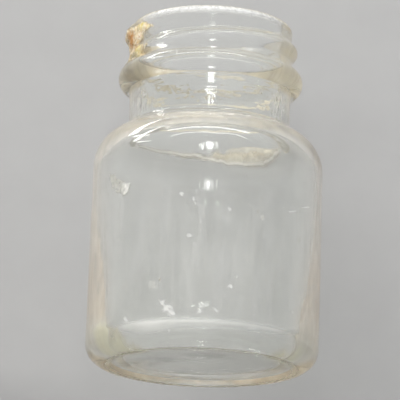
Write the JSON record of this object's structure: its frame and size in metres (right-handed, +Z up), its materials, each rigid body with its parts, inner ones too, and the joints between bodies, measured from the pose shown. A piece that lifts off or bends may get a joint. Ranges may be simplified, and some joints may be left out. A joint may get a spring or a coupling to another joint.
{
  "type": "specimen jar",
  "caption": "Small clear glass specimen jar with a round body, rounded shoulder and bead under a screw neck, with its loose metal screw cap and liner beside it.",
  "frame": {"origin": "centre of the resting ring under the jar's base, on the floor", "axes": "+Z up along the jar's axis, out of its mouth; -Y faces the camera of the picture; the cap lies on the -X side"},
  "size_m": [0.0831, 0.0531, 0.0546],
  "materials": {
    "glass": "clear, slightly grey-green, old and dusty",
    "label_paper": "torn, stained",
    "tinplate": "dull tin with rust at the edges",
    "board": "pressed pulp",
    "waxed_paper": "waxed, with a ring pressed in by the lip"
  },
  "bodies": {
    "jar": {"glass_jar": "glass", "label_scrap": "label_paper"},
    "cap_liner": {"liner_board": "board", "liner_facing": "waxed_paper"},
    "cap": {"cap_shell": "tinplate"}
  },
  "joints": [
    {"name": "cap_lift", "type": "slide", "parent": "jar", "child": "cap_liner", "axis": [0, 0, 1], "range_m": [0, 0.08]},
    {"name": "cap_turn", "type": "hinge", "parent": "cap_liner", "child": "cap", "pos_m": [-0.05, -0.02, 0], "axis": [0, 0, 1], "continuous": true}
  ]
}
